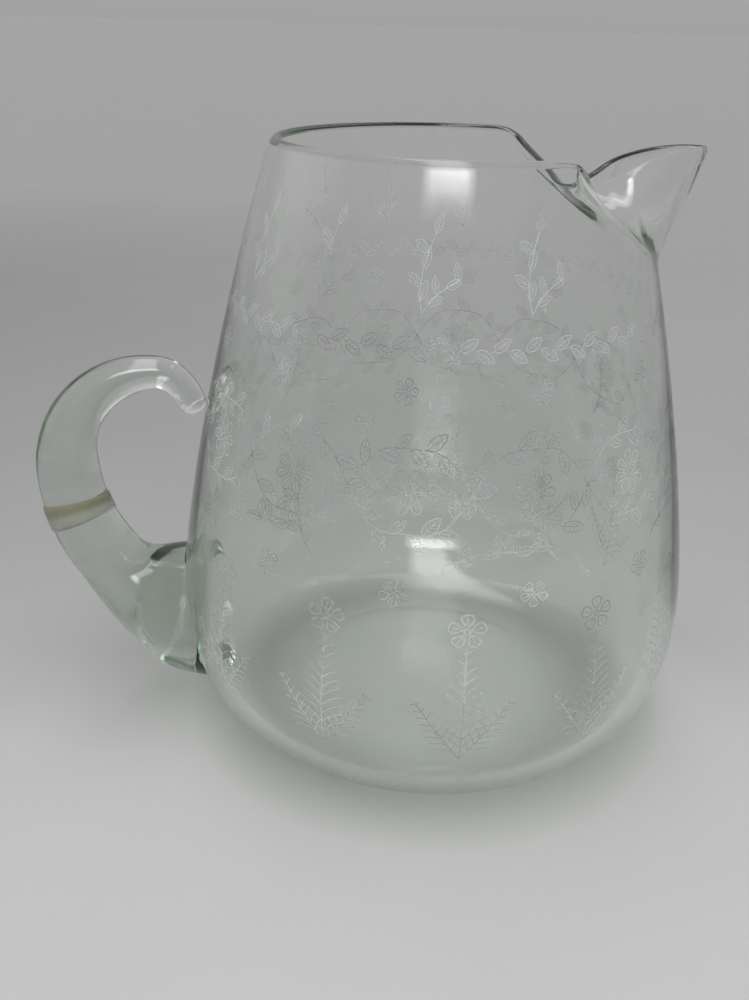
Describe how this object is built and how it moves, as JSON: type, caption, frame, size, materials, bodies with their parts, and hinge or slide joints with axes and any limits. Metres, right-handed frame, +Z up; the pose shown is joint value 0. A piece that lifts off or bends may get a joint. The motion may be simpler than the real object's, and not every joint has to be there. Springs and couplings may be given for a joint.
{
  "type": "glass pitcher",
  "caption": "Hand-blown clear glass pitcher with a round belly, pinched ice lip, drawn-out spout, solid curled glass handle and a thin band wrapped round the handle.",
  "frame": {"origin": "middle of the flat foot, on the table", "axes": "+X from the axis to the spout, -X to the handle, +Z up"},
  "size_m": [0.2012, 0.1576, 0.18],
  "materials": {
    "body_glass": "clear, fire-polished, pale grey-green in the thick parts",
    "handle_glass": "clear, fire-polished, pale grey-green in the thick parts",
    "band": "matt, yellowed, slightly translucent"
  },
  "bodies": {
    "root": {"body": "body_glass", "handle": "handle_glass", "handle_band": "band"}
  },
  "joints": []
}
